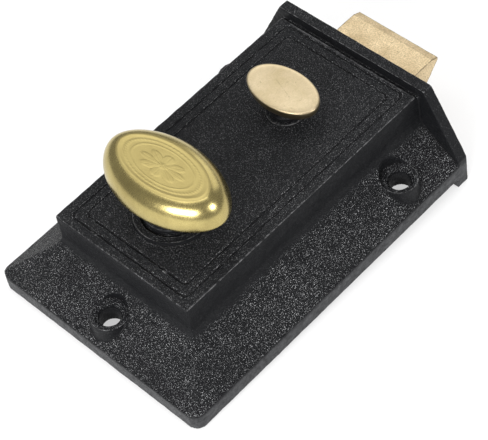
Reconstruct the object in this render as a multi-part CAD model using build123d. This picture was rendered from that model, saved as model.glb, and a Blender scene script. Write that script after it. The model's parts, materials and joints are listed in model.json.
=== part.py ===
from build123d import *
import os
from math import cos, sin, tan, radians, sqrt

# Rim night latch: a surface-mounted door latch with a cast-iron case, a sprung
# latch bolt, a large oval turn knob that draws the bolt back, and a small oval
# snib knob that locks it. Millimetres. Origin: on the mounting plane, on the
# turn-knob (and cylinder) axis. +X towards the forend and the strike, +Z away
# from the door.

os.makedirs("parts", exist_ok=True)

# ---------------------------------------------------------------- overall sizes
case_length = 119.0          # rear rim to outer face of the forend
case_width = 83.0            # over the long-side rims
case_height = 29.0           # mounting plane to top face
rear_reach = 38.6            # turn-knob axis back to the rear rim
backset = 48.0               # turn-knob axis forward to the snib axis
wall = 3.0                   # casting thickness

# skirt of the casting
rear_inset = 16.1            # rim to upright wall, rear end
side_inset = 14.4            # rim to upright wall, long sides
rim_height = 5.8             # upright edge of the skirt
skirt_top = 17.0             # height where skirt and wall planes meet
cove_radius = 6.0            # hollow between skirt and wall
rim_corner_radius = 3.5
top_edge_radius = 0.7

# forend, the plate the bolt comes through
forend_thickness = 3.9
forend_top = 31.3
forend_top_half = 29.05      # half width of its top edge
forend_knee = 7.5            # height where its sides turn upright
lip_depth = 3.8              # how far it hooks below the mounting plane
lip_thickness = 4.6
forend_groove_width = 1.3
forend_groove_depth = 0.9

# top decoration
panel_rear_gap = 2.8         # top edge to outer engraved line, rear end
panel_side_gap = 3.2         # the same, long sides
panel_front_gap = 2.2        # the same, forend end
panel_step = 3.1             # outer line to inner line
panel_line_width = 0.9
panel_line_depth = 0.45
panel_corner_radius = 2.0
turn_boss_radius = 12.1
turn_boss_height = 1.7
turn_boss_step_width = 2.2
turn_boss_step_depth = 0.6
snib_boss_radius = 6.4
snib_boss_height = 0.9

# case screws
screw_hole_radius = 3.3
screw_sink_radius = 4.6
screw_sink_depth = 1.3
screw_boss_radius = 5.8
screw_boss_draft = 0.7
screw_boss_bottom = 5.2
screw_boss_top = 12.6
rear_screw_inset = 7.9       # rear rim to the rear screw
side_screw_inset = 7.7       # long-side rim to each side screw
side_screw_reach = 22.0      # forend face back to the side screws

# latch bolt
bolt_width = 32.0
bolt_bottom = 6.0
bolt_top = 20.0
bolt_projection = 17.7       # beyond the forend at rest
bolt_bevel_angle = 47.0
bolt_nose_land = 0.9         # upright tip of the nose
bolt_nose_chamfer = 2.6      # length of the slight fall at the nose
bolt_nose_fall = 1.0
tail_bridge = 1.25           # tail metal between the far recess and the head
bolt_aperture_gap = 0.3
bolt_tail_half = 13.0
bolt_tail_bottom = 8.0
bolt_tail_top = 12.0
tail_spindle_gap = 1.2       # drawn-back tail to the turn spindle

# turn: knob, spindle and arm
turn_spindle_radius = 5.0
turn_fit = 0.05              # radial running fit in the bush
bush_radius = 7.0
bush_flange_radius = 9.5
bush_flange_thickness = 1.6
turn_neck_radius = 7.4
turn_knob_half_x = 13.3
turn_knob_half_y = 22.5
turn_knob_equator = 43.6     # height of the widest section
turn_knob_rise = 9.6         # crown above the widest section, before the flat
turn_knob_under = 4.6        # depth below it
turn_knob_plateau = 50.6     # height of the flat on top
turn_knob_socket = 1.6       # neck let into the knob
turn_spindle_lap = 6.0       # spindle let into the knob
turn_square = 7.0            # across the square that drives the arm
arm_radius = 13.0
arm_nose_radius = 3.0
arm_web_half = 1.7
arm_start = 50.0             # degrees from +X at rest
turn_travel = 80.0           # degrees
arm_bottom = 15.5
arm_top = 20.0
arm_hub_radius = 8.0
arm_lost_motion = 0.4        # slack between arm nose and yoke
washer_thickness = 0.8
tailpiece_slot_width = 2.4
tailpiece_slot_length = 8.0
tailpiece_slot_depth = 8.0
turn_spindle_foot = 3.2
turn_foot_step = 0.4         # foot is this much slimmer than the spindle

# yoke riveted to the bolt
yoke_thickness = 2.0
yoke_lead = 0.95             # leg starts this far inside the arm nose at rest
yoke_side_gap = 0.4          # legs are this much narrower than the bolt
yoke_tab_height = 6.2
spring_tab_x = 10.0
rivet_radius = 1.6
rivet_head_radius = 2.6
rivet_head_height = 0.9
rivet_spread = 9.5

# bolt spring
spring_y = -12.3
spring_z = 17.0
spring_radius = 2.9          # mean coil radius
spring_wire_radius = 0.45
spring_turns = 9
spring_pin_radius = 1.5
spring_pin_gap = 2.7         # drawn-back yoke to the pin's end

# snib: knob, spindle and washer
snib_shank_radius = 4.0
snib_fit = 0.05
snib_cam_radius = 4.5
snib_flats = 6.0             # across the flats of the locking shank
snib_slot_gap = 0.25         # each side of the flats
snib_recess_gap = 0.25
snib_shoulder_radius = 6.2
snib_shoulder_thickness = 1.5
snib_foot = 7.0
snib_neck_radius = 5.2
snib_knob_half_x = 7.6
snib_knob_half_y = 12.9
snib_knob_bottom = 34.4
snib_knob_top = 39.4
snib_knob_side = 2.6         # depth of the knob's upright side
snib_knob_draft = 0.1        # the side leans in by this towards its foot
snib_foot_step_x = 3.0       # knob's foot inside its side, across
snib_foot_step_y = 5.0       # and along
snib_socket_cover = 2.0      # brass left over the spindle's end
snib_neck_gap = 0.3          # neck clear of the boss under it
snib_washer_gap = 0.7

# inside supports
post_radius = 3.6
post_gap = 1.0               # bolt side to post
rear_post_reach = 9.4        # upright rear wall to the rear posts
front_post_reach = 9.6       # forend back to the front posts
guide_half = 2.8             # half length of the guide strap along X
guide_yoke_gap = 0.6         # yoke front to the guide strap and ribs
guide_snib_gap = 2.6         # guide strap to the snib shank
guide_thickness = 1.8
guide_gap = 0.2
rib_half_y = 11.0
rib_width = 2.4

# back cover
cover_thickness = 1.5
cover_recess = 0.3           # cover sits this far inside the mounting plane
cover_margin = 3.3           # cover edge beyond the post circles
cover_corner = 3.0
cover_front_gap = 0.4
cover_opening_radius = 8.5
machine_screw_radius = 1.5
machine_screw_length = 7.0
machine_head_radius = 2.9
machine_head_height = 1.3
drive_slot_width = 0.8

# cross pins through the knob necks
neck_pin_radius = 1.2

# ---------------------------------------------------------------- derived sizes
x_rear = -rear_reach
x_front = case_length - rear_reach
x_inner_front = x_front - forend_thickness
half_width = case_width / 2
top_inner = case_height - wall
wall_x = x_rear + rear_inset
wall_y = half_width - side_inset
rear_screw = (x_rear + rear_screw_inset, 0)
side_screw_y = half_width - side_screw_inset
side_screw_x = x_front - side_screw_reach
screw_spots = [rear_screw, (side_screw_x, side_screw_y), (side_screw_x, -side_screw_y)]
bolt_tip = x_front + bolt_projection
arm_x = arm_radius * cos(radians(arm_start))
bolt_travel = arm_radius * (cos(radians(arm_start)) - cos(radians(arm_start + turn_travel)))
yoke_face = arm_x - arm_nose_radius - arm_lost_motion
cover_top = cover_recess + cover_thickness
turn_foot_radius = turn_spindle_radius - turn_foot_step
bolt_tail_rear = turn_foot_radius + bolt_travel + tail_spindle_gap
bolt_head_rear = backset + bolt_travel + snib_cam_radius + snib_recess_gap + tail_bridge
guide_x = backset - snib_cam_radius - guide_snib_gap - guide_half
yoke_front = guide_x - guide_half - guide_yoke_gap
yoke_leg_inner = arm_radius * sin(radians(arm_start)) - yoke_lead
yoke_leg_outer = bolt_width / 2 - yoke_side_gap
post_y = bolt_width / 2 + post_gap + post_radius
cover_post_x = (wall_x + rear_post_reach, x_inner_front - front_post_reach)
cover_rear = cover_post_x[0] - post_radius - cover_margin
cover_half = post_y + post_radius + cover_margin
yoke_bottom = bolt_tail_top
yoke_top = yoke_bottom + yoke_thickness
guide_top = bolt_tail_bottom - guide_gap
guide_bottom = guide_top - guide_thickness


def block(x0, x1, y0, y1, z0, z1):
    """Rectangular block between two corners."""
    size = Box(x1 - x0, y1 - y0, z1 - z0)
    return Pos((x0 + x1) / 2, (y0 + y1) / 2, (z0 + z1) / 2) * size


def rod(x, y, z0, z1, radius):
    """Upright cylinder between two heights."""
    return Pos(x, y, (z0 + z1) / 2) * Cylinder(radius, z1 - z0)


def write(solid, node):
    """Write one piece to its own file."""
    solid.label = node
    export_step(solid, f"parts/{node}.step")


def skirt_half(inset, inner):
    """Rim-to-wall outline as (distance in from the rim, height), outside or inside."""
    slope = (skirt_top - rim_height) / inset
    drop = wall * sqrt(1 + slope * slope)
    if not inner:
        return [(0, rim_height), (inset, skirt_top), (inset, case_height)]
    foot = rim_height + slope * wall - drop
    knee = rim_height + slope * (inset + wall) - drop
    return [(wall, foot), (inset + wall, knee), (inset + wall, top_inner)]


def end_outline(inner):
    """Side view of the case, drawn in X and Z."""
    side = [(x_rear + q, z) for q, z in skirt_half(rear_inset, inner)]
    front = x_inner_front if inner else x_front
    floor = -1.0 if inner else 0.0
    points = [(side[0][0], floor)] + side + [(front, side[-1][1]), (front, floor)]
    face = make_face(Polyline(*[(x, 0, z) for x, z in points], close=True))
    knee = face.vertices().sort_by_distance((side[1][0], 0, side[1][1]))[0]
    return fillet(knee, cove_radius)


def cross_outline(inner):
    """End view of the case, drawn in Y and Z."""
    side = [(q - half_width, z) for q, z in skirt_half(side_inset, inner)]
    floor = -1.0 if inner else 0.0
    left = [(side[0][0], floor)] + side
    right = [(-y, z) for y, z in reversed(left)]
    face = make_face(Polyline(*[(0, y, z) for y, z in left + right], close=True))
    low = face.vertices().sort_by_distance((0, side[1][0], side[1][1]))[0]
    face = fillet(low, cove_radius)
    high = face.vertices().sort_by_distance((0, -side[1][0], side[1][1]))[0]
    return fillet(high, cove_radius)


def hollow_form(inner):
    """Skirted block, outside form or inside cavity."""
    along = extrude(end_outline(inner), amount=case_width, dir=(0, 1, 0), both=True)
    across = extrude(cross_outline(inner), amount=2 * case_length, dir=(1, 0, 0), both=True)
    return along & across


def panel_line(step):
    """Engraved rectangle on the top face."""
    x0 = wall_x + panel_rear_gap + step
    x1 = x_inner_front - panel_front_gap - step
    y1 = wall_y - panel_side_gap - step
    outer = RectangleRounded(x1 - x0, 2 * y1, panel_corner_radius)
    inset = 2 * panel_line_width
    inner = RectangleRounded(x1 - x0 - inset, 2 * y1 - inset, panel_corner_radius - 0.6)
    ring = Pos((x0 + x1) / 2, 0, case_height - panel_line_depth) * (outer - inner)
    return extrude(ring, amount=2 * panel_line_depth)


# ---------------------------------------------------------------- case
body = hollow_form(False)
plan = Pos((x_rear + x_front) / 2, 0, 0) * Box(case_length, case_width, 3 * case_height)
rear_edges = plan.edges().filter_by(Axis.Z).group_by(Axis.X)[0]
body = body & fillet(rear_edges, rim_corner_radius)
top_face = body.faces().sort_by(Axis.Z)[-1]
body = fillet(top_face.edges().filter_by(Axis.Y).sort_by(Axis.X)[0:1], top_edge_radius)
body = body - hollow_form(True)

forend_points = [
    (-forend_top_half, forend_top),
    (forend_top_half, forend_top),
    (half_width, forend_knee),
    (half_width, -lip_depth),
    (-half_width, -lip_depth),
    (-half_width, forend_knee),
]
forend_face = make_face(Polyline(*[(x_front, y, z) for y, z in forend_points], close=True))
forend = extrude(forend_face, amount=forend_thickness, dir=(-1, 0, 0))
body = body + forend
body = body + block(x_front - lip_thickness, x_front, -half_width, half_width, -lip_depth, 0)

groove_x = x_inner_front - forend_groove_width
groove_half = wall_y + 1
groove_floor = case_height - forend_groove_depth
body = body - block(groove_x, x_inner_front, -groove_half, groove_half, groove_floor, case_height + 1)
body = body - panel_line(0) - panel_line(panel_step)

body = body + rod(0, 0, case_height - 1, case_height + turn_boss_height, turn_boss_radius)
step_radius = turn_boss_radius - turn_boss_step_width
step_floor = case_height + turn_boss_height - turn_boss_step_depth
body = body - rod(0, 0, step_floor, case_height + turn_boss_height + 1, step_radius)
body = body + rod(backset, 0, case_height - 1, case_height + snib_boss_height, snib_boss_radius)

for sx, sy in screw_spots:
    boss_height = screw_boss_top - screw_boss_bottom
    boss = Cone(screw_boss_radius + screw_boss_draft, screw_boss_radius, boss_height)
    body = body + Pos(sx, sy, screw_boss_bottom + boss_height / 2) * boss
    body = body - rod(sx, sy, screw_boss_top, case_height - 4, screw_boss_radius)
    body = body - rod(sx, sy, -1, screw_boss_top + 1, screw_hole_radius)
    sink = Cone(screw_hole_radius, screw_sink_radius, screw_sink_depth)
    body = body - Pos(sx, sy, screw_boss_top - screw_sink_depth / 2) * sink

cover_spots = [(px, py) for px in cover_post_x for py in (post_y, -post_y)]
guide_spots = [(guide_x, post_y), (guide_x, -post_y)]
case_form = hollow_form(False)
for px, py in cover_spots:
    body = body + (rod(px, py, cover_top, top_inner + 1, post_radius) & case_form)
    body = body - rod(px, py, cover_top - 1, cover_recess + machine_screw_length, machine_screw_radius)
for px, py in guide_spots:
    body = body + (rod(px, py, guide_top, top_inner + 1, post_radius) & case_form)
    body = body - rod(px, py, guide_top - 1, guide_bottom + machine_screw_length, machine_screw_radius)

# ribs that hold the bolt tail down, beside the yoke
rib_rear = guide_x - guide_half
rib_front = guide_x + guide_half
rib_foot = bolt_tail_top + guide_gap
for ry in (rib_half_y, -rib_half_y):
    rib_low = ry - rib_width / 2
    body = body + block(rib_rear, rib_front, rib_low, rib_low + rib_width, rib_foot, top_inner + 1)

# bearing holes
body = body - rod(0, 0, 0, case_height + turn_boss_height + 1, bush_radius)
body = body - rod(backset, 0, top_inner - 1, case_height + 3, snib_shank_radius + snib_fit)

# bolt aperture through the forend
aperture = bolt_width / 2 + bolt_aperture_gap
low_z = bolt_bottom - bolt_aperture_gap
high_z = bolt_top + bolt_aperture_gap
body = body - block(x_inner_front - 1, x_front + 1, -aperture, aperture, low_z, high_z)

# seat for the spring pin in the rear wall
spring_pin_root = wall_x + wall - 2
body = body - Pos(spring_pin_root, spring_y, spring_z) * Rot(0, 90, 0) * Cylinder(
    spring_pin_radius, 8, align=(Align.CENTER, Align.CENTER, Align.MIN)
)
write(body, "case")

# ---------------------------------------------------------------- back cover
cover_front = x_inner_front - cover_front_gap
cover_length = cover_front - cover_rear
cover = extrude(RectangleRounded(cover_length, 2 * cover_half, cover_corner), amount=cover_thickness)
cover = Pos((cover_front + cover_rear) / 2, 0, cover_recess) * cover
cover = cover - rod(0, 0, -1, cover_top + 1, cover_opening_radius)


def machine_screw(x, y, face_z):
    """Countersunk slotted screw driven upwards, head flush with face_z."""
    head = Cone(machine_head_radius, machine_screw_radius, machine_head_height)
    head = Pos(x, y, face_z + machine_head_height / 2) * head
    shank = rod(x, y, face_z + machine_head_height / 2, face_z + machine_screw_length, machine_screw_radius)
    slot = block(x - 4, x + 4, y - drive_slot_width / 2, y + drive_slot_width / 2, face_z - 1, face_z + 0.6)
    return head + shank - slot


def sink_for_screw(x, y, face_z):
    """Countersunk hole that such a screw fills."""
    head = Cone(machine_head_radius, machine_screw_radius, machine_head_height)
    head = Pos(x, y, face_z + machine_head_height / 2) * head
    return head + rod(x, y, face_z - 1, face_z + 4, machine_screw_radius)


for px, py in cover_spots:
    cover = cover - sink_for_screw(px, py, cover_recess)
write(cover, "back_cover")
write(Compound(children=[machine_screw(px, py, cover_recess) for px, py in cover_spots]), "cover_screws")

# ---------------------------------------------------------------- guide strap under the bolt tail
strap_end = post_y + post_radius - 0.6
strap = block(rib_rear, rib_front, -strap_end, strap_end, guide_bottom, guide_top)
for px, py in guide_spots:
    strap = strap - sink_for_screw(px, py, guide_bottom)
write(strap, "bolt_guide_strap")
write(Compound(children=[machine_screw(px, py, guide_bottom) for px, py in guide_spots]), "guide_screws")

# ---------------------------------------------------------------- bush for the turn spindle
bush_bottom = top_inner - bush_flange_thickness
bush_top = step_floor
bush = rod(0, 0, bush_bottom, bush_top, bush_radius)
bush = bush + rod(0, 0, bush_bottom, top_inner, bush_flange_radius)
bush = bush - rod(0, 0, bush_bottom - 1, bush_top + 1, turn_spindle_radius + turn_fit)
write(bush, "spindle_bush")

# ---------------------------------------------------------------- spring and its guide pin
pin_end = spring_tab_x - bolt_travel - spring_pin_gap
pin_mid = (spring_pin_root + pin_end) / 2
spring_pin = Cylinder(spring_pin_radius, pin_end - spring_pin_root)
spring_pin = Pos(pin_mid, spring_y, spring_z) * Rot(0, 90, 0) * spring_pin
write(spring_pin, "spring_guide_pin")

spring_start = wall_x + wall + spring_wire_radius
spring_end = spring_tab_x - spring_wire_radius
spring_pitch = (spring_end - spring_start) / spring_turns
coil = Helix(pitch=spring_pitch, height=spring_end - spring_start, radius=spring_radius)
section = Plane(origin=coil @ 0, z_dir=coil % 0) * Circle(spring_wire_radius)
spring = sweep(section, path=coil, is_frenet=True)
spring = Pos(spring_start, spring_y, spring_z) * Rot(0, 90, 0) * spring
write(spring, "bolt_spring")

# ---------------------------------------------------------------- latch bolt
bevel_run = (bolt_top - bolt_nose_fall - bolt_nose_land - bolt_bottom) / tan(radians(bolt_bevel_angle))
bolt_points = [
    (bolt_head_rear, bolt_bottom),
    (bolt_tip - bevel_run, bolt_bottom),
    (bolt_tip, bolt_top - bolt_nose_fall - bolt_nose_land),
    (bolt_tip, bolt_top - bolt_nose_fall),
    (bolt_tip - bolt_nose_chamfer, bolt_top),
    (bolt_head_rear, bolt_top),
]
half_bolt = bolt_width / 2
bolt_face = make_face(Polyline(*[(x, -half_bolt, z) for x, z in bolt_points], close=True))
bolt = extrude(bolt_face, amount=bolt_width, dir=(0, 1, 0))
bolt = bolt + block(
    bolt_tail_rear, bolt_head_rear + 1, -bolt_tail_half, bolt_tail_half, bolt_tail_bottom, bolt_tail_top
)
recess_radius = snib_cam_radius + snib_recess_gap
slot_half = snib_flats / 2 + snib_slot_gap
recess_far = backset + bolt_travel
tail_low = bolt_tail_bottom - 1
tail_high = bolt_tail_top + 1
bolt = bolt - rod(backset, 0, tail_low, tail_high, recess_radius)
bolt = bolt - rod(recess_far, 0, tail_low, tail_high, recess_radius)
bolt = bolt - block(backset, recess_far, -slot_half, slot_half, tail_low, tail_high)

rivet_x = (bolt_tail_rear + yoke_front) / 2
rivet_spots = [(rivet_x, side * rivet_spread) for side in (-1, 0, 1)]
for rx, ry in rivet_spots:
    bolt = bolt - rod(rx, ry, tail_low, tail_high, rivet_radius)
    bolt = bolt - rod(rx, ry, tail_low, bolt_tail_bottom + rivet_head_height, rivet_head_radius)
write(bolt, "latch_bolt")

# ---------------------------------------------------------------- yoke riveted on the bolt tail
yoke = block(bolt_tail_rear, yoke_front, -yoke_leg_outer, yoke_leg_outer, yoke_bottom, yoke_top)
drive_tab_rear = yoke_face - yoke_thickness
tab_top = yoke_top + yoke_tab_height
yoke = yoke + block(drive_tab_rear, bolt_tail_rear + 1, yoke_leg_inner, yoke_leg_outer, yoke_bottom, yoke_top)
yoke = yoke + block(drive_tab_rear, yoke_face, yoke_leg_inner, yoke_leg_outer, yoke_bottom, tab_top)
spring_tab_front = spring_tab_x + yoke_thickness
yoke = yoke + block(spring_tab_x, bolt_tail_rear + 1, -yoke_leg_outer, -yoke_leg_inner, yoke_bottom, yoke_top)
yoke = yoke + block(
    spring_tab_x, spring_tab_front, -yoke_leg_outer, -yoke_leg_inner, yoke_bottom, tab_top
)
for rx, ry in rivet_spots:
    yoke = yoke - rod(rx, ry, tail_low, yoke_top + 1, rivet_radius)
write(yoke, "bolt_yoke")

rivets = []
for rx, ry in rivet_spots:
    rivet = rod(rx, ry, bolt_tail_bottom, yoke_top, rivet_radius)
    rivet = rivet + rod(rx, ry, bolt_tail_bottom, bolt_tail_bottom + rivet_head_height, rivet_head_radius)
    rivet = rivet + rod(rx, ry, yoke_top, yoke_top + rivet_head_height, rivet_head_radius)
    rivets.append(rivet)
write(Compound(children=rivets), "yoke_rivets")

# ---------------------------------------------------------------- turn spindle and what it carries
neck_bottom = case_height + turn_boss_height + 0.3
knob_foot = turn_knob_equator - turn_knob_under
neck_top = knob_foot + turn_knob_socket
spindle_top = knob_foot + turn_spindle_lap
spindle = rod(0, 0, arm_top, spindle_top, turn_spindle_radius)
half_square = turn_square / 2
spindle = spindle + block(-half_square, half_square, -half_square, half_square, arm_bottom, arm_top)
foot_top = arm_bottom - washer_thickness
clip_groove = turn_square / 2 - 0.3
spindle = spindle + rod(0, 0, foot_top - 0.2, arm_bottom, clip_groove)
spindle = spindle + rod(0, 0, turn_spindle_foot, foot_top, turn_foot_radius)
slot_w = tailpiece_slot_width / 2
slot_l = tailpiece_slot_length / 2
slot_z = turn_spindle_foot + tailpiece_slot_depth
spindle = spindle - block(-slot_l, slot_l, -slot_w, slot_w, turn_spindle_foot - 1, slot_z)

arm_nose = (arm_x, arm_radius * sin(radians(arm_start)))
hub = rod(0, 0, arm_bottom, arm_top, arm_hub_radius)
nose = rod(arm_nose[0], arm_nose[1], arm_bottom, arm_top, arm_nose_radius)
web = block(0, arm_radius, -arm_web_half, arm_web_half, arm_bottom, arm_top)
arm = hub + nose + Rot(0, 0, arm_start) * web
arm = arm - block(-half_square, half_square, -half_square, half_square, arm_bottom - 1, arm_top + 1)

spindle_pin_z = (neck_bottom + neck_top) / 2
cross_bore = Pos(0, 0, spindle_pin_z) * Rot(0, 90, 0) * Cylinder(neck_pin_radius, 4 * turn_neck_radius)
spindle = spindle - cross_bore
write(spindle, "turn_spindle")
write(arm, "retractor_arm")

clip = rod(0, 0, foot_top, arm_bottom, arm_hub_radius - 1.5)
clip = clip - rod(0, 0, foot_top - 1, arm_bottom + 1, clip_groove)
clip_mouth = clip_groove * 0.8
clip = clip - block(-arm_hub_radius, 0, -clip_mouth, clip_mouth, foot_top - 1, arm_bottom + 1)
write(clip, "arm_retaining_clip")

washer_top = bush_bottom - 0.05
washer = rod(0, 0, arm_top, washer_top, arm_hub_radius)
washer = washer - rod(0, 0, arm_top - 1, washer_top + 1, turn_spindle_radius)
write(washer, "arm_spacer_tube")

neck = rod(0, 0, neck_bottom, neck_top, turn_neck_radius)
neck = neck + rod(0, 0, neck_bottom, neck_bottom + 1.6, turn_neck_radius + 1.8)
neck = neck - rod(0, 0, neck_bottom - 1, neck_top + 1, turn_spindle_radius) - cross_bore
write(neck, "turn_neck")
turn_pin = Pos(0, 0, spindle_pin_z) * Rot(0, 90, 0) * Cylinder(neck_pin_radius, 2 * turn_neck_radius)
write(turn_pin, "turn_neck_pin")

# ---------------------------------------------------------------- large oval turn knob
reach = turn_knob_half_x + turn_knob_half_y
crown = scale(Sphere(1), by=(turn_knob_half_x, turn_knob_half_y, turn_knob_rise))
crown = Pos(0, 0, turn_knob_equator) * crown
crown = crown & block(-reach, reach, -reach, reach, turn_knob_equator, turn_knob_plateau)
under = scale(Sphere(1), by=(turn_knob_half_x, turn_knob_half_y, turn_knob_under))
under = Pos(0, 0, turn_knob_equator) * under
under = under & block(-reach, reach, -reach, reach, knob_foot - 1, turn_knob_equator)
knob = crown + under
knob = knob - rod(0, 0, 0, neck_top, turn_neck_radius)
knob = knob - rod(0, 0, 0, spindle_top, turn_spindle_radius)
write(knob, "turn_knob")

# ---------------------------------------------------------------- snib spindle and what it carries
snib_neck_bottom = case_height + snib_boss_height + snib_neck_gap
snib_spindle_top = snib_knob_top - snib_socket_cover
shoulder_top = top_inner - snib_washer_gap
shoulder_bottom = shoulder_top - snib_shoulder_thickness
cam = rod(backset, 0, snib_foot, shoulder_bottom, snib_cam_radius)
half_flat = snib_flats / 2
cam = cam & block(backset - 20, backset + 20, -half_flat, half_flat, snib_foot - 1, shoulder_top + 1)
snib_spindle = cam + rod(backset, 0, shoulder_bottom, shoulder_top, snib_shoulder_radius)
snib_spindle = snib_spindle + rod(backset, 0, shoulder_top, snib_spindle_top, snib_shank_radius)
snib_pin_z = (snib_neck_bottom + snib_knob_bottom) / 2
snib_bore = Pos(backset, 0, snib_pin_z) * Rot(0, 90, 0) * Cylinder(neck_pin_radius, 4 * snib_neck_radius)
snib_spindle = snib_spindle - snib_bore
write(snib_spindle, "snib_spindle")

snib_washer = rod(backset, 0, shoulder_top, top_inner - 0.05, snib_shoulder_radius)
snib_washer = snib_washer - rod(backset, 0, shoulder_top - 1, top_inner + 1, snib_shank_radius)
write(snib_washer, "snib_friction_washer")

snib_neck = rod(backset, 0, snib_neck_bottom, snib_knob_bottom, snib_neck_radius)
snib_neck = snib_neck - rod(backset, 0, snib_neck_bottom - 1, snib_knob_bottom + 1, snib_shank_radius)
snib_neck = snib_neck - snib_bore
write(snib_neck, "snib_neck")
snib_pin = Pos(backset, 0, snib_pin_z) * Rot(0, 90, 0) * Cylinder(neck_pin_radius, 2 * snib_neck_radius)
write(snib_pin, "snib_neck_pin")

snib_side_half_x = snib_knob_half_x - snib_knob_draft
snib_side_half_y = snib_knob_half_y - snib_knob_draft
snib_side_foot = snib_knob_top - snib_knob_side
snib_face = Pos(backset, 0, snib_knob_top) * Ellipse(snib_knob_half_x, snib_knob_half_y)
snib_mid = Pos(backset, 0, snib_side_foot) * Ellipse(snib_side_half_x, snib_side_half_y)
snib_under = Ellipse(snib_knob_half_x - snib_foot_step_x, snib_knob_half_y - snib_foot_step_y)
snib_under = Pos(backset, 0, snib_knob_bottom) * snib_under
snib_knob = loft([snib_mid, snib_face]) + loft([snib_under, snib_mid])
snib_knob = snib_knob - rod(backset, 0, 0, snib_spindle_top, snib_shank_radius)
write(snib_knob, "snib_knob")
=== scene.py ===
import json
import math

import bmesh
import bpy
from mathutils import Matrix, Vector


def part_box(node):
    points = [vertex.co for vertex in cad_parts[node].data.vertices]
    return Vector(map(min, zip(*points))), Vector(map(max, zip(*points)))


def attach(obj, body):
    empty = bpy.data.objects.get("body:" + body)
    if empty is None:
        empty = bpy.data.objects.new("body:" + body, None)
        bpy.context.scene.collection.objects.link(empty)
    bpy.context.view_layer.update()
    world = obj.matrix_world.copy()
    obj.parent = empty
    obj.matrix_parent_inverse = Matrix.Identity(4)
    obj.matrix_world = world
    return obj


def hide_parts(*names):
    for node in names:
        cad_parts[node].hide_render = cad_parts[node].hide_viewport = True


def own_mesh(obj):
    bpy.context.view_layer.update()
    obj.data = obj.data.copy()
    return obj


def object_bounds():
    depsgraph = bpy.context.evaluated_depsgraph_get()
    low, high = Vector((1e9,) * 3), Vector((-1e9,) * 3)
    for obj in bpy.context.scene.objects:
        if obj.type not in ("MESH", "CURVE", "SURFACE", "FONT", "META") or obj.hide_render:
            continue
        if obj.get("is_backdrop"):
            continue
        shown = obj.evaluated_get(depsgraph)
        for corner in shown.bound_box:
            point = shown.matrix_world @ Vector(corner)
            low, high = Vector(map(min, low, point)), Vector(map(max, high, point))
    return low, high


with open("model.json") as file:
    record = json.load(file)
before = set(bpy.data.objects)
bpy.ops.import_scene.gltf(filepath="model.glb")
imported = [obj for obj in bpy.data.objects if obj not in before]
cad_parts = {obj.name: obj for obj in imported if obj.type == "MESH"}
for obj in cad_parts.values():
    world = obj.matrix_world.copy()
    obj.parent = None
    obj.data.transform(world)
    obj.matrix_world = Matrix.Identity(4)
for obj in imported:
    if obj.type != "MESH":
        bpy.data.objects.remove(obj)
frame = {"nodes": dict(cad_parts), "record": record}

# The latch lies on its back: +Z away from the door, +X towards the door's edge, with the
# turn knob's axis at the origin. Lengths in names and arguments are millimetres until mm().
MM = 0.001
cad_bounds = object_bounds()
nodes = frame["nodes"]


def mm(*values):
    """Millimetres to a vector in metres."""
    return Vector(values) * MM


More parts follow.
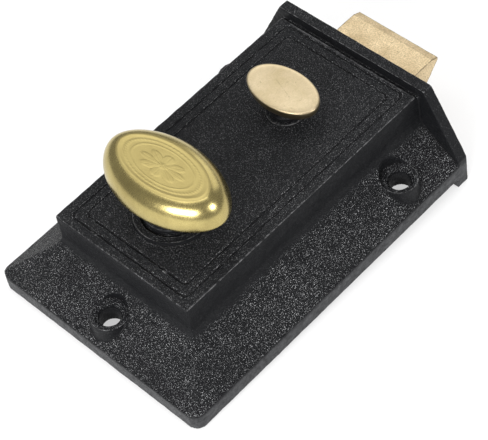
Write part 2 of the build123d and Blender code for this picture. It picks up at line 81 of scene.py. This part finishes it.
# ------------------------------------------------------------------ node helpers
class Shader:
    """A material's node tree, built a node at a time."""

    def __init__(self, name):
        self.material = bpy.data.materials.new(name)
        self.material.use_nodes = True
        self.tree = self.material.node_tree
        self.bsdf = self.tree.nodes["Principled BSDF"]
        coords = self.add("ShaderNodeTexCoord")
        self.position = coords.outputs["Object"]
        self.normal = coords.outputs["Normal"]

    def add(self, kind, **settings):
        node = self.tree.nodes.new(kind)
        for key, value in settings.items():
            setattr(node, key, value)
        return node

    def link(self, source, target):
        self.tree.links.new(source, target)

    def set(self, **values):
        names = {
            "metallic": "Metallic",
            "ior": "IOR",
            "specular": "Specular IOR Level",
            "roughness": "Roughness",
        }
        for key, value in values.items():
            self.bsdf.inputs[names[key]].default_value = value

    def noise(self, size_mm, detail=3.0, rough=0.55, stretch=None):
        """Noise whose features are about size_mm across."""
        source = self.position
        if stretch:
            mapping = self.add("ShaderNodeMapping")
            mapping.inputs["Scale"].default_value = stretch
            self.link(source, mapping.inputs["Vector"])
            source = mapping.outputs["Vector"]
        node = self.add("ShaderNodeTexNoise")
        node.inputs["Scale"].default_value = 1 / (size_mm * MM)
        node.inputs["Detail"].default_value = detail
        node.inputs["Roughness"].default_value = rough
        self.link(source, node.inputs["Vector"])
        return node.outputs["Fac"]

    def axes(self, vector):
        """The X, Y and Z sockets of a vector."""
        node = self.add("ShaderNodeSeparateXYZ")
        self.link(vector, node.inputs[0])
        return node.outputs

    def ramp(self, value, stops):
        """Colour or grey ramp; stops are (place, colour or grey)."""
        node = self.add("ShaderNodeValToRGB")
        ramp = node.color_ramp
        while len(ramp.elements) < len(stops):
            ramp.elements.new(0.5)
        for element, (place, colour) in zip(ramp.elements, stops):
            element.position = place
            if isinstance(colour, (int, float)):
                colour = (colour, colour, colour)
            element.color = (*colour, 1)
        self.link(value, node.inputs["Fac"])
        return node.outputs["Color"]

    def mix(self, amount, a, b):
        """Mix two colours; amount, a and b are sockets or plain values."""
        node = self.add("ShaderNodeMix", data_type="RGBA")
        for socket, value in ((node.inputs[0], amount), (node.inputs[6], a), (node.inputs[7], b)):
            if isinstance(value, bpy.types.NodeSocket):
                self.link(value, socket)
            elif isinstance(value, (int, float)):
                socket.default_value = value
            else:
                socket.default_value = (*value, 1)
        return node.outputs[2]

    def math(self, operation, a, b=0.0):
        """One sum on two sockets or plain values."""
        node = self.add("ShaderNodeMath", operation=operation)
        for socket, value in ((node.inputs[0], a), (node.inputs[1], b)):
            if isinstance(value, bpy.types.NodeSocket):
                self.link(value, socket)
            else:
                socket.default_value = value
        return node.outputs[0]

    def times(self, *factors):
        """Product of two or more sockets or plain values."""
        product = factors[0]
        for factor in factors[1:]:
            product = self.math("MULTIPLY", product, factor)
        return product

    def edges(self, low=0.5, high=0.6):
        """0 at pointiness low and 1 at high: over 0.5 finds outside edges, under it hollows."""
        geometry = self.add("ShaderNodeNewGeometry")
        stops = [(low, 0.0), (high, 1.0)] if low < high else [(high, 1.0), (low, 0.0)]
        return self.ramp(geometry.outputs["Pointiness"], stops)

    def bump(self, heights):
        """Stack bumps: (height socket, depth in mm, strength)."""
        normal = None
        for height, depth, strength in heights:
            node = self.add("ShaderNodeBump")
            node.inputs["Distance"].default_value = depth * MM
            node.inputs["Strength"].default_value = strength
            self.link(height, node.inputs["Height"])
            if normal is not None:
                self.link(normal, node.inputs["Normal"])
            normal = node.outputs["Normal"]
        self.link(normal, self.bsdf.inputs["Normal"])

    def colour(self, socket):
        self.link(socket, self.bsdf.inputs["Base Color"])

    def roughness(self, socket):
        self.link(socket, self.bsdf.inputs["Roughness"])


# black paint on iron, in linear colour, from the darkest up; the darkest is painted shade for the hollows
# and the palest a painted glint
HOLLOW_SHADE = (0.001, 0.001, 0.0012)
PAINT_DARK = (0.0034, 0.0036, 0.0043)
PAINT_LIGHT = (0.0068, 0.007, 0.0078)
SAND = (0.0125, 0.013, 0.0145)
RIM_GREY = (0.06, 0.061, 0.064)
RUBBED_EDGE = (0.32, 0.32, 0.325)
PAINTED_GLINT = (0.56, 0.565, 0.575)


def black_iron(name, grain=1.0, rim_mm=0.0, cove_mm=None):
    """Sand-cast iron under thin satin black: gritty where it faces up, with painted glints as
    bright flecks mostly on its up-facing slopes, smooth on its upright walls, rubbed grey along
    its edges, lighter grey below rim_mm on its upright outer rim except where that faces +X,
    and darkened by painted shade in its hollows. The cove between the two heights cove_mm is
    never rubbed."""
    s = Shader(name)
    s.set(metallic=0.0, specular=0.11, ior=1.5)
    facing, place = s.axes(s.normal), s.axes(s.position)
    faces_up = s.ramp(facing["Z"], [(0.45, 0.06), (0.75, 1.0), (0.9, 1.0), (0.99, 0.42)])
    grit = s.noise(0.7, detail=5.0, rough=0.8)
    specks = s.noise(0.27, detail=2.0, rough=0.6)
    lumps = s.noise(2.6, detail=3.0)
    patches = s.noise(14.0, detail=4.0)
    base = s.mix(s.ramp(patches, [(0.35, 0.0), (0.7, 1.0)]), PAINT_DARK, PAINT_LIGHT)
    sand = s.noise(0.3, detail=3.0, rough=0.8)
    base = s.mix(s.ramp(sand, [(0.42, 0.0), (0.62, 0.9)]), base, SAND)
    # painted glints: bright flecks, mostly on up-facing slopes and fewer on flat tops, stand in for light
    # glinting off the grit; grain scales them as well as the grit bumps
    painted_glints = s.times(
        s.ramp(specks, [(0.6, 0.0), (0.68, 1.0)]),
        faces_up,
        s.ramp(patches, [(0.3, 0.45), (0.6, 1.0)]),
        0.9 * grain,
    )
    base = s.mix(painted_glints, base, PAINTED_GLINT)
    # lighter grey in broken streaks on the low upright outer rim, except on faces turned to +X
    if rim_mm:
        height = s.math("DIVIDE", place["Z"], rim_mm * MM)
        low_down = s.ramp(height, [(0.7, 1.0), (0.98, 0.0)])
        upright = s.ramp(s.math("ABSOLUTE", facing["Z"]), [(0.25, 1.0), (0.5, 0.0)])
        behind = s.ramp(facing["X"], [(0.2, 1.0), (0.5, 0.0)])
        streaks = s.ramp(s.noise(2.2, detail=5.0, rough=0.75), [(0.34, 0.2), (0.6, 1.0)])
        base = s.mix(s.times(low_down, upright, behind, streaks), base, RIM_GREY)
    # painted shade: hollows and creases darkened to near black
    base = s.mix(s.edges(0.49, 0.44), base, HOLLOW_SHADE)
    broken = s.ramp(s.noise(1.5, detail=3.0), [(0.42, 0.1), (0.56, 1.0)])
    upper = s.ramp(facing["Z"], [(0.45, 0.0), (0.65, 1.0)])
    wear = s.times(s.edges(0.52, 0.57), broken, upper)
    if cove_mm:
        under = s.math("LESS_THAN", place["Z"], cove_mm[0] * MM)
        over = s.math("GREATER_THAN", place["Z"], cove_mm[1] * MM)
        wear = s.times(wear, s.math("ADD", under, over))
    s.colour(s.mix(s.times(wear, 0.85), base, RUBBED_EDGE))
    s.roughness(s.ramp(grit, [(0.4, 0.62), (0.62, 0.3)]))
    s.bump([(lumps, 0.3, 0.35 * grain), (s.times(grit, faces_up), 0.5, grain)])
    return s.material


def brass(name, deep, pale, rough, cast=0.0, brushed=0.0, matt_over=None, side_shade=0.0):
    """Brass: deep in the hollows, pale where it is rubbed, with cast grain or fine scratches.
    A cast piece is darker along its convex edges, in broken patches. Over the height matt_over,
    in mm, the face is duller, as if finely blasted. The last argument is how far painted shade
    darkens the faces that don't look up."""
    s = Shader(name)
    s.set(metallic=1.0)
    cloudy = s.noise(6.0, detail=5.0)
    grit = s.noise(0.5, detail=4.0, rough=0.7)
    pits = s.noise(1.1, detail=3.0)
    scratches = s.noise(0.9, detail=3.0, stretch=(1.0, 9.0, 1.0))
    dark = [v * 0.35 for v in deep]
    tone = s.mix(s.ramp(cloudy, [(0.3, 0.0), (0.7, 1.0)]), deep, pale)
    if cast:
        sand = s.ramp(grit, [(0.42, 1.0), (0.56, 0.0)])
        tone = s.mix(s.times(sand, 0.42 * cast), tone, dark)
        # darker along convex edges, in broken patches
        dark_edges = s.times(s.edges(0.505, 0.53), s.ramp(pits, [(0.38, 0.35), (0.5, 1.0)]))
        tone = s.mix(s.times(dark_edges, 0.8 * cast), tone, [v * 0.2 for v in deep])
    spots = s.ramp(pits, [(0.28, 1.0), (0.34, 0.0)])
    tone = s.mix(s.times(spots, 0.25 + 0.5 * cast), tone, dark)
    scuffs = s.ramp(scratches, [(0.36, 1.0), (0.42, 0.0)])
    tone = s.mix(s.times(scuffs, 0.3 * brushed), tone, dark)
    # painted shade: faces that don't look up are darkened towards the dark brass
    if side_shade:
        sides = s.ramp(s.axes(s.normal)["Z"], [(0.3, 1.0), (0.8, 0.0)])
        tone = s.mix(s.times(sides, side_shade), tone, dark)
    gloss = s.ramp(scratches, [(0.3, rough - 0.05), (0.7, rough + 0.05)])
    if matt_over:
        blasted = s.math("GREATER_THAN", s.axes(s.position)["Z"], matt_over * MM)
        tone = s.mix(s.times(blasted, 0.6), tone, [v * 0.85 for v in deep])
        gloss = s.mix(blasted, gloss, (0.46, 0.46, 0.46))
    s.colour(tone)
    s.roughness(gloss)
    s.bump([(pits, 0.12, 0.03 + 0.5 * cast), (grit, 0.1, 0.7 * cast), (scratches, 0.06, brushed)])
    return s.material


def steel(name, grey, rough):
    """Plain turned or stamped steel with fine lines and a few stains."""
    s = Shader(name)
    s.set(metallic=1.0)
    lines = s.noise(0.3, detail=2.0, stretch=(1.0, 12.0, 1.0))
    stains = s.noise(5.0, detail=5.0)
    dull = [v * 0.55 for v in grey]
    s.colour(s.mix(s.ramp(stains, [(0.45, 0.0), (0.75, 1.0)]), grey, dull))
    s.roughness(s.ramp(lines, [(0.3, rough - 0.06), (0.7, rough + 0.12)]))
    s.bump([(lines, 0.03, 0.35)])
    return s.material


skirt_rim, skirt_cove = 6.2, (14.0, 21.5)
iron = black_iron("black_cast_iron", rim_mm=skirt_rim, cove_mm=skirt_cove)
smooth_iron = black_iron("black_turned_iron", grain=0.35)
knob_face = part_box("turn_knob")[1].z / MM - 0.25
knob_brass = brass(
    "satin_brass", (0.42, 0.34, 0.135), (0.53, 0.44, 0.18), 0.26, brushed=0.04, matt_over=knob_face,
)
# the snib knob's brass gets painted shade on its faces that don't look up
pale_brass = brass(
    "pale_brass", (0.52, 0.42, 0.25), (0.64, 0.53, 0.35), 0.38, cast=0.25, brushed=0.6, side_shade=0.75,
)
cast_brass = brass("cast_brass", (0.64, 0.50, 0.30), (0.92, 0.76, 0.50), 0.56, cast=0.9)
plain_steel = steel("plain_steel", (0.52, 0.53, 0.54), 0.34)
dark_steel = steel("dark_steel", (0.07, 0.07, 0.075), 0.42)
spring_steel = steel("spring_steel", (0.36, 0.36, 0.38), 0.3)
bush_brass = brass("bearing_brass", (0.55, 0.42, 0.18), (0.7, 0.56, 0.27), 0.3, brushed=0.3)

by_slot = {
    "black_cast_iron": iron,
    "dark_steel": dark_steel,
    "plain_steel": plain_steel,
    "spring_steel": spring_steel,
    "cast_brass": cast_brass,
    "polished_brass": knob_brass,
    "pale_brass": pale_brass,
}
slot_of = {entry["node"]: entry["material_slot"] for entry in frame["record"]["subparts"]}


def dress(obj, material):
    obj.data.materials.clear()
    obj.data.materials.append(material)


for name, obj in nodes.items():
    dress(obj, by_slot[slot_of[name]])
dress(nodes["spindle_bush"], bush_brass)


# ------------------------------------------------------------------ mesh helpers
def piece(name, mesh, node, body, material):
    """Puts a finished mesh in place of a CAD node, on that node's body."""
    obj = bpy.data.objects.new(name, mesh)
    bpy.context.scene.collection.objects.link(obj)
    dress(obj, material)
    for polygon in mesh.polygons:
        polygon.use_smooth = True
    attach(obj, body)
    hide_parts(node)
    return obj


def rings_mesh(name, rings):
    """Closed skin over a stack of rings, each a list of points of the same count."""
    bm = bmesh.new()
    loops = [[bm.verts.new(p) for p in ring] for ring in rings]
    count = len(rings[0])
    for low_loop, high_loop in zip(loops, loops[1:]):
        for i in range(count):
            j = (i + 1) % count
            bm.faces.new((low_loop[i], low_loop[j], high_loop[j], high_loop[i]))
    bm.faces.new(loops[0][::-1])
    bm.faces.new(loops[-1])
    bmesh.ops.recalc_face_normals(bm, faces=bm.faces)
    mesh = bpy.data.meshes.new(name)
    bm.to_mesh(mesh)
    bm.free()
    return mesh


def oval(cx, cy, z, half_x, half_y, count, dz=None, lemon=1.0):
    """Ring of points on an ellipse, with more pointed ends where lemon is over 1; dz(x, y) adds height."""
    ring = []
    for i in range(count):
        turn = 2 * math.pi * i / count
        across, along = math.cos(turn), math.sin(turn)
        x = half_x * math.copysign(abs(across) ** lemon, across)
        y = half_y * math.copysign(abs(along) ** lemon, along)
        lift = dz(x, y) if dz else 0.0
        ring.append(mm(cx + x, cy + y, z + lift))
    return ring


def lathe(name, cx, cy, profile, count=96):
    """Solid turned about an upright axis; profile is (radius, height), from one end to the other."""
    return rings_mesh(name, [oval(cx, cy, z, r, r, count) for r, z in profile])


def rounded(profile, radius, steps=4):
    """Rounds the corners of an open (radius, height) profile."""
    points = [profile[0]]
    for before, corner, after in zip(profile, profile[1:], profile[2:]):
        a, c, b = (Vector(p) for p in (before, corner, after))
        reach = min(radius, (a - c).length / 2.2, (b - c).length / 2.2)
        start, end = c + (a - c).normalized() * reach, c + (b - c).normalized() * reach
        for k in range(steps + 1):
            t = k / steps
            p = start * (1 - t) ** 2 + c * 2 * t * (1 - t) + end * t ** 2
            points.append((p.x, p.y))
    points.append(profile[-1])
    return points


def cloud_texture(name, size_mm, depth):
    texture = bpy.data.textures.new(name, "CLOUDS")
    texture.noise_scale = size_mm * MM
    texture.noise_depth = depth
    return texture


def cast(obj, voxel_mm, smooth_steps, lumps_mm, lump_size_mm):
    """Cast finish: edges softened by remeshing and smoothing, faces slightly uneven. The
    uneven faces lie mostly inside the true ones, so the piece doesn't outgrow its size."""
    remesh = obj.modifiers.new("cast_skin", "REMESH")
    remesh.mode = "VOXEL"
    remesh.voxel_size = voxel_mm * MM
    remesh.use_smooth_shade = True
    smooth = obj.modifiers.new("rubbed_edges", "SMOOTH")
    smooth.factor = 0.5
    smooth.iterations = smooth_steps
    lumps = obj.modifiers.new("uneven_faces", "DISPLACE")
    lumps.texture = cloud_texture(obj.name + "_lumps", lump_size_mm, 2)
    lumps.texture_coords = "LOCAL"
    lumps.strength = lumps_mm * MM
    lumps.mid_level = 0.72


def soften(obj, width_mm):
    """Breaks the sharp edges of a machined or stamped piece."""
    bevel = obj.modifiers.new("broken_edges", "BEVEL")
    bevel.width = width_mm * MM
    bevel.segments = 2
    bevel.limit_method = "ANGLE"
    bevel.angle_limit = math.radians(40)
    bevel.harden_normals = True


# ------------------------------------------------------------------ castings and machined pieces
cast(nodes["case"], 0.313, 1, lumps_mm=0.22, lump_size_mm=3.0)
cast(nodes["latch_bolt"], 0.25, 2, lumps_mm=0.12, lump_size_mm=2.5)
for name in ("back_cover", "bolt_guide_strap", "bolt_yoke", "retractor_arm"):
    soften(nodes[name], 0.18)

# ------------------------------------------------------------------ large oval turn knob
knob_low, knob_high = (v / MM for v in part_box("turn_knob"))
knob_half_x, knob_half_y = knob_high.x, knob_high.y
plateau_z = knob_high.z
equator = plateau_z - 8.0
plateau_half_x, plateau_half_y = 7.6, 16.4
neck_half = 7.0
foot_lift = 0.4
pointed = 1.04
relief = 0.07
relief_base = 1.9
border_at, border_spread, border_strands = 0.84, 0.035, 56
line_at, line_spread = 0.70, 0.022
leaf_pairs = 4
bud_radius = 0.13


def ridge(distance, spread):
    """1 on a line, falling off smoothly to both sides."""
    return math.exp(-(distance / spread) ** 2)


def plateau_relief(x, y):
    """Generic low relief: a rope border, an inner line and an eight-leaf rosette."""
    r = math.hypot(x / plateau_half_x, y / plateau_half_y)
    turn = math.atan2(y / plateau_half_y, x / plateau_half_x)
    border = ridge(r - border_at, border_spread) * (0.7 + 0.3 * math.cos(border_strands * turn))
    line = 0.7 * ridge(r - line_at, line_spread)
    on_leaf = abs(math.cos(leaf_pairs * turn))
    leaf_edge = 0.30 + 0.24 * on_leaf ** 0.7
    leaf = max(0.0, min(1.0, (leaf_edge - r) / 0.06)) * (0.55 + 0.45 * on_leaf)
    vein = 0.0
    if 0.12 < r < leaf_edge:
        vein = 0.35 * ridge(math.sin(leaf_pairs * turn), 0.12)
    bud = max(0.0, 1 - (r / bud_radius) ** 2)
    return relief * (border + line + leaf - vein + bud - relief_base)


def knob_rings():
    """Rings from the underside of the knob up, over its shoulder, to the middle of its top."""
    count = 288
    under_steps, shoulder_steps, top_steps = 18, 28, 60
    foot_z = knob_low.z + foot_lift
    for k in range(under_steps + 1):
        t = math.pi / 2 * k / under_steps
        swell, rise = math.sin(t), 1 - math.cos(t)
        z = foot_z + (equator - foot_z) * rise
        half_x, half_y = (neck_half + (half - neck_half) * swell for half in (knob_half_x, knob_half_y))
        yield oval(0, 0, z, half_x, half_y, count, lemon=1 + (pointed - 1) * swell)
    crease = math.radians(74)
    for k in range(1, shoulder_steps + 1):
        t = crease * k / shoulder_steps
        swell = ((math.cos(t) - math.cos(crease)) / (1 - math.cos(crease))) ** 0.9
        z = equator + (plateau_z - equator) * math.sin(t) / math.sin(crease)
        half_x = plateau_half_x + (knob_half_x - plateau_half_x) * swell
        half_y = plateau_half_y + (knob_half_y - plateau_half_y) * swell
        yield oval(0, 0, z, half_x, half_y, count, lemon=pointed)
    for k in range(1, top_steps):
        share = 1 - k / top_steps
        fade = min(1.0, (1 - share) / 0.1)
        yield oval(
            0, 0, plateau_z, plateau_half_x * share, plateau_half_y * share, count,
            lambda x, y: plateau_relief(x, y) * fade, lemon=pointed,
        )


knob_mesh = rings_mesh("turn_knob_brass", list(knob_rings()))
piece("turn_knob_brass", knob_mesh, "turn_knob", "turn_body", knob_brass)

neck_low, neck_high = (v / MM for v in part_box("turn_neck"))
flange = neck_high.x
turn_neck_profile = rounded([
    (0.01, neck_low.z), (flange, neck_low.z), (flange, neck_low.z + 1.3), (flange - 1.3, neck_low.z + 1.9),
    (flange - 2.2, neck_low.z + 2.0), (flange - 2.9, neck_low.z + 3.0), (flange - 2.6, neck_high.z - 2.5),
    (flange - 1.9, neck_high.z - 1.2), (0.01, neck_high.z - 1.2),
], 0.45)
neck_mesh = lathe("turn_neck_iron", 0, 0, turn_neck_profile)
piece("turn_neck_iron", neck_mesh, "turn_neck", "turn_body", smooth_iron)

# ------------------------------------------------------------------ small oval snib knob
snib_low, snib_high = (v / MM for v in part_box("snib_knob"))
snib_x = (snib_low.x + snib_high.x) / 2
snib_half_x, snib_half_y = (snib_high.x - snib_low.x) / 2, snib_high.y
snib_shape = [
    # share of the half width, height from the top
    (0.42, -5.0), (0.5, -4.95), (0.66, -4.7), (0.80, -4.25), (0.90, -3.65), (0.955, -3.0), (0.982, -2.2),
    (0.996, -1.4), (1.0, -0.7), (0.997, -0.4), (0.985, -0.2), (0.968, -0.1), (0.95, -0.05), (0.93, -0.08),
    (0.91, -0.1), (0.8, -0.09), (0.6, -0.08), (0.4, -0.07), (0.2, -0.07), (0.02, -0.07),
]
snib_mesh = rings_mesh("snib_knob_brass", [
    oval(snib_x, 0, snib_high.z + height, snib_half_x * share, snib_half_y * share, 192)
    for share, height in snib_shape
])
piece("snib_knob_brass", snib_mesh, "snib_knob", "snib_body", pale_brass)

snib_neck_low, snib_neck_high = (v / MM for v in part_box("snib_neck"))
snib_neck_r = (snib_neck_high.x - snib_neck_low.x) / 2
snib_neck_profile = rounded([
    (0.01, snib_neck_low.z), (snib_neck_r, snib_neck_low.z), (snib_neck_r, snib_neck_low.z + 0.9),
    (snib_neck_r - 0.9, snib_neck_low.z + 1.4), (snib_neck_r - 1.5, snib_neck_high.z - 1.6),
    (snib_neck_r - 1.0, snib_neck_high.z), (0.01, snib_neck_high.z),
], 0.35)
snib_neck_mesh = lathe("snib_neck_iron", snib_x, 0, snib_neck_profile)
piece("snib_neck_iron", snib_neck_mesh, "snib_neck", "snib_body", smooth_iron)

# ------------------------------------------------------------------ bolt spring
spring_low, spring_high = (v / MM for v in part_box("bolt_spring"))
wire = 0.45
coil_radius = (spring_high.y - spring_low.y) / 2 - wire
coil_y, coil_z = (spring_high.y + spring_low.y) / 2, (spring_high.z + spring_low.z) / 2
coil_turns, dead_turns = 9, 1.2


def coil_path(steps):
    """Centre line of the coil, close-wound for its first and last turn."""
    first, last = spring_low.x + wire, spring_high.x - wire
    closed = dead_turns * 2.1 * wire
    total = coil_turns + 2 * dead_turns
    for k in range(steps + 1):
        turn = total * k / steps
        if turn < dead_turns:
            x = first + closed * turn / dead_turns
        elif turn > total - dead_turns:
            x = last - closed * (total - turn) / dead_turns
        else:
            x = first + closed + (last - first - 2 * closed) * (turn - dead_turns) / coil_turns
        angle = 2 * math.pi * turn
        yield x, coil_y + coil_radius * math.cos(angle), coil_z + coil_radius * math.sin(angle), angle


def coil_rings(steps=560, sides=10):
    """Rings of the wire, square to its path."""
    for x, y, z, angle in coil_path(steps):
        ring = []
        for i in range(sides):
            a = 2 * math.pi * i / sides
            out = wire * math.cos(a)
            ring.append(mm(x + wire * math.sin(a), y + out * math.cos(angle), z + out * math.sin(angle)))
        yield ring


coil_mesh = rings_mesh("bolt_spring_coil", list(coil_rings()))
coil = piece("bolt_spring_coil", coil_mesh, "bolt_spring", "case_body", spring_steel)
mm(spring_low.x, coil_y, coil_z)
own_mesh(coil)

# ------------------------------------------------------------------ floor, light, camera
bpy.ops.mesh.primitive_plane_add(size=6.0)
floor = bpy.context.object
floor.name = "floor"
# the latch rests on its rear rim and on the lip, which reaches below the mounting plane
case_low, case_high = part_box("case")
rest_tilt = math.atan2(-case_low.z, case_high.x - case_low.x)
floor.rotation_euler = (0, rest_tilt, 0)
floor.location = (case_low.x, 0, -0.0002)
floor_look = Shader("pale_floor")
floor_look.set(roughness=0.6)
floor_look.colour(floor_look.mix(floor_look.noise(60.0), (0.40, 0.40, 0.40), (0.42, 0.42, 0.42)))
floor_look.bsdf.inputs["Emission Color"].default_value = (1, 1, 1, 1)
floor_look.bsdf.inputs["Emission Strength"].default_value = 0.55
dress(floor, floor_look.material)
floor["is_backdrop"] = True


def softbox(name, place, aim, size, power):
    """Rectangular area light at place, in metres, turned towards aim."""
    data = bpy.data.lights.new(name, "AREA")
    data.shape = "RECTANGLE"
    data.size, data.size_y = size
    data.energy = power
    lamp = bpy.data.objects.new(name, data)
    bpy.context.scene.collection.objects.link(lamp)
    lamp.location = place
    lamp.rotation_euler = (Vector(aim) - Vector(place)).to_track_quat("-Z", "Y").to_euler()


softbox("key", (-0.75, -0.25, 0.5), (0, 0, 0.02), (0.6, 0.3), 9.0)
softbox("right_fill", (0.15, -0.75, 0.55), (0, 0, 0.02), (0.3, 0.25), 3.5)
softbox("far_fill", (0.85, 0.2, 0.4), (0.05, 0, 0.02), (0.6, 0.5), 1.1)
softbox("overhead", (0.1, 0.25, 0.9), (0, 0, 0), (0.8, 0.8), 5.0)

bpy.context.scene.view_settings.view_transform = "Standard"
world = bpy.data.worlds.new("studio")
bpy.context.scene.world = world
world.use_nodes = True
backdrop = world.node_tree.nodes["Background"]
backdrop.inputs["Color"].default_value = (1, 1, 1, 1)
backdrop.inputs["Strength"].default_value = 0.32

lens_mm = 138.2
sensor_mm = 36.0
camera_place = mm(-188.6, -278.3, 450.2)
azimuth, elevation, roll = (math.radians(v) for v in (-37.40, 52.10, -11.69))
back = Vector((
    math.sin(azimuth) * math.cos(elevation),
    -math.cos(azimuth) * math.cos(elevation),
    math.sin(elevation),
))
right = Vector((0, 0, 1)).cross(back).normalized()
up = back.cross(right)
right, up = (
    math.cos(roll) * right + math.sin(roll) * up,
    math.cos(roll) * up - math.sin(roll) * right,
)
camera_data = bpy.data.cameras.new("camera")
camera_data.lens = lens_mm
camera_data.sensor_width = sensor_mm
camera_data.clip_start = 0.01
camera = bpy.data.objects.new("camera", camera_data)
bpy.context.scene.collection.objects.link(camera)
camera.matrix_world = Matrix.Translation(camera_place) @ Matrix((right, up, back)).transposed().to_4x4()
bpy.context.scene.camera = camera

sizes = {"cad": cad_bounds, "visual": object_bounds()}
{key: [list(corner) for corner in value] for key, value in sizes.items()}
